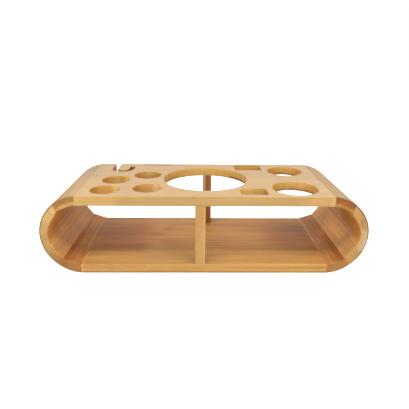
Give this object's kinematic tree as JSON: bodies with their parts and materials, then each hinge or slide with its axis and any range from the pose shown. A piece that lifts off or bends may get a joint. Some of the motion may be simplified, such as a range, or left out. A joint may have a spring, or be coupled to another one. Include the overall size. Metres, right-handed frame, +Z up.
{
  "type": "tool storage caddy",
  "caption": "Long low bamboo caddy: a top board pierced with round holes, slots and a hook-shaped slot over a plain base board, joined by rounded ends and held apart by short posts.",
  "frame": {"origin": "centre of the footprint, on the flat underside of the base board", "axes": "+X along the length to the right as seen from the front, +Y from the front to the back where the hook-shaped slot opens, +Z up"},
  "size_m": [0.33, 0.13, 0.083],
  "materials": {
    "bamboo_top": "satin clear-lacquered natural bamboo, light tan, strips along the length",
    "bamboo_bottom": "satin clear-lacquered bamboo, orange-brown, fine strips along the length",
    "bamboo_corner": "satin clear-lacquered laminated bamboo, darker brown at the cut ends",
    "bamboo_side": "satin clear-lacquered laminated bamboo, tan, strips running front to back",
    "bamboo_post": "satin clear-lacquered laminated bamboo with upright strips",
    "bamboo_joinery": "bare pale wood, hidden in the joints"
  },
  "bodies": {
    "root": {"top_board": "bamboo_top", "bottom_board": "bamboo_bottom", "left_top_corner_block": "bamboo_corner", "left_side_block": "bamboo_side", "left_bottom_corner_block": "bamboo_corner", "right_top_corner_block": "bamboo_corner", "right_side_block": "bamboo_side", "right_bottom_corner_block": "bamboo_corner", "front_post": "bamboo_post", "rear_post": "bamboo_post", "front_post_top_dowel": "bamboo_joinery", "front_post_bottom_dowel": "bamboo_joinery", "rear_post_top_dowel": "bamboo_joinery", "rear_post_bottom_dowel": "bamboo_joinery", "left_top_board_spline": "bamboo_joinery", "left_bottom_board_spline": "bamboo_joinery", "left_upper_block_spline": "bamboo_joinery", "left_lower_block_spline": "bamboo_joinery", "right_top_board_spline": "bamboo_joinery", "right_bottom_board_spline": "bamboo_joinery", "right_upper_block_spline": "bamboo_joinery", "right_lower_block_spline": "bamboo_joinery"}
  },
  "joints": []
}
